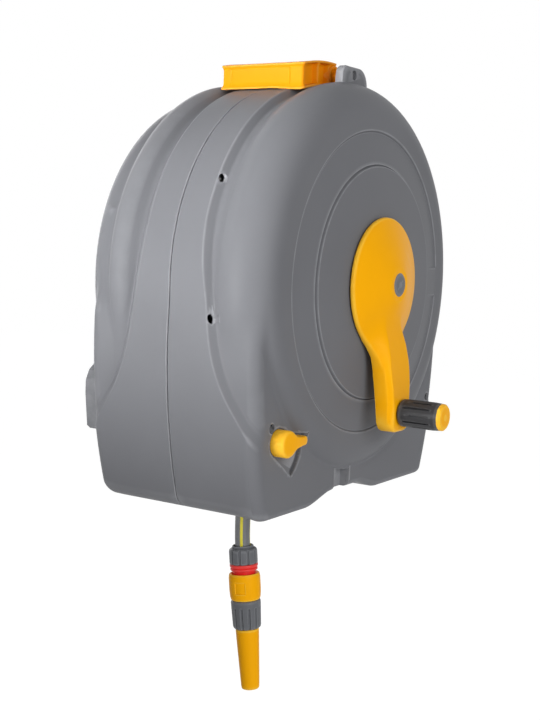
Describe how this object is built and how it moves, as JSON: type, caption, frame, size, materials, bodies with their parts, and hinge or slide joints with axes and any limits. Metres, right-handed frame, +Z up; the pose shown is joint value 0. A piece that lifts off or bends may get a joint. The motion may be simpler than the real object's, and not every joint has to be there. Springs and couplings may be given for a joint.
{
  "type": "wall mounted hose reel",
  "caption": "Closed round hose reel for a wall: two moulded half shells, yellow crank with turning grip, fold-up carry handle, drum lock lever and a hanging hose end with nozzle.",
  "frame": {"origin": "on the wall plane, at the centre of the four wall screws, level with the drum axis", "axes": "+X along the wall to the right as seen from the room, +Y into the wall, +Z up"},
  "size_m": [0.4239, 0.3556, 0.6645],
  "materials": {
    "grey_housing": "satin moulded, fine grain",
    "grey_fitting": "satin",
    "yellow_plastic": "semi gloss",
    "dark_plastic": "matt",
    "steel": "zinc plated",
    "seal_rubber": "matt",
    "hose": "smooth, striped",
    "black_grip": "matt, slotted",
    "red_plastic": "gloss"
  },
  "bodies": {
    "bracket": {"wall_bracket": "grey_housing"},
    "housing": {"front_shell": "grey_housing", "rear_shell": "grey_housing", "shell_screws": "steel", "bush_front": "dark_plastic", "bush_rear": "dark_plastic", "inlet_pipe": "dark_plastic", "inlet_seals": "seal_rubber", "pipe_clip": "grey_housing", "hose_outlet": "dark_plastic", "handle_pins": "steel", "hose_tail": "hose", "hose_nut": "grey_fitting", "connector_body": "red_plastic", "nozzle_grip": "grey_fitting", "nozzle_seal": "seal_rubber"},
    "handle": {"carry_handle": "yellow_plastic"},
    "drum": {"drum_hub": "dark_plastic", "drum_flange_front": "dark_plastic", "drum_flange_rear": "dark_plastic", "flange_screws": "steel", "crank_shaft": "steel", "drum_elbow": "dark_plastic", "hose_tie": "steel", "wound_hose": "hose", "crank_arm": "yellow_plastic", "crank_cap": "grey_fitting", "crank_screw": "steel", "grip_pin": "steel"},
    "grip": {"crank_grip": "black_grip", "grip_cap": "yellow_plastic"},
    "lock": {"lock_lever": "yellow_plastic", "lock_shaft": "dark_plastic", "lock_pad": "seal_rubber", "lock_clip": "steel"},
    "collar": {"connector_collar": "yellow_plastic"},
    "barrel": {"nozzle_barrel": "yellow_plastic"}
  },
  "joints": [
    {"name": "lift_off", "type": "slide", "parent": "bracket", "child": "housing", "axis": [0, 0, 1], "range_m": [0, 0.05]},
    {"name": "handle_swing", "type": "hinge", "parent": "housing", "child": "handle", "pos_m": [0.006, -0.148, 0.2225], "axis": [0, 1, 0], "range_deg": [0, 85]},
    {"name": "drum_spin", "type": "hinge", "parent": "housing", "child": "drum", "pos_m": [0, -0.148, 0], "axis": [0, 1, 0], "continuous": true},
    {"name": "grip_spin", "type": "hinge", "parent": "drum", "child": "grip", "pos_m": [0, -0.328, -0.136], "axis": [0, 1, 0], "continuous": true},
    {"name": "lock_turn", "type": "hinge", "parent": "housing", "child": "lock", "pos_m": [-0.161, -0.251, -0.156], "axis": [0, 1, 0], "range_deg": [0, 65]},
    {"name": "collar_slide", "type": "slide", "parent": "housing", "child": "collar", "axis": [0, 0.1097, 0.994], "range_m": [0, 0.003], "stiffness_N_per_m": 600},
    {"name": "barrel_twist", "type": "hinge", "parent": "housing", "child": "barrel", "pos_m": [-0.126, -0.1902, -0.276], "axis": [0, -0.1097, -0.994], "range_deg": [0, 270]}
  ]
}
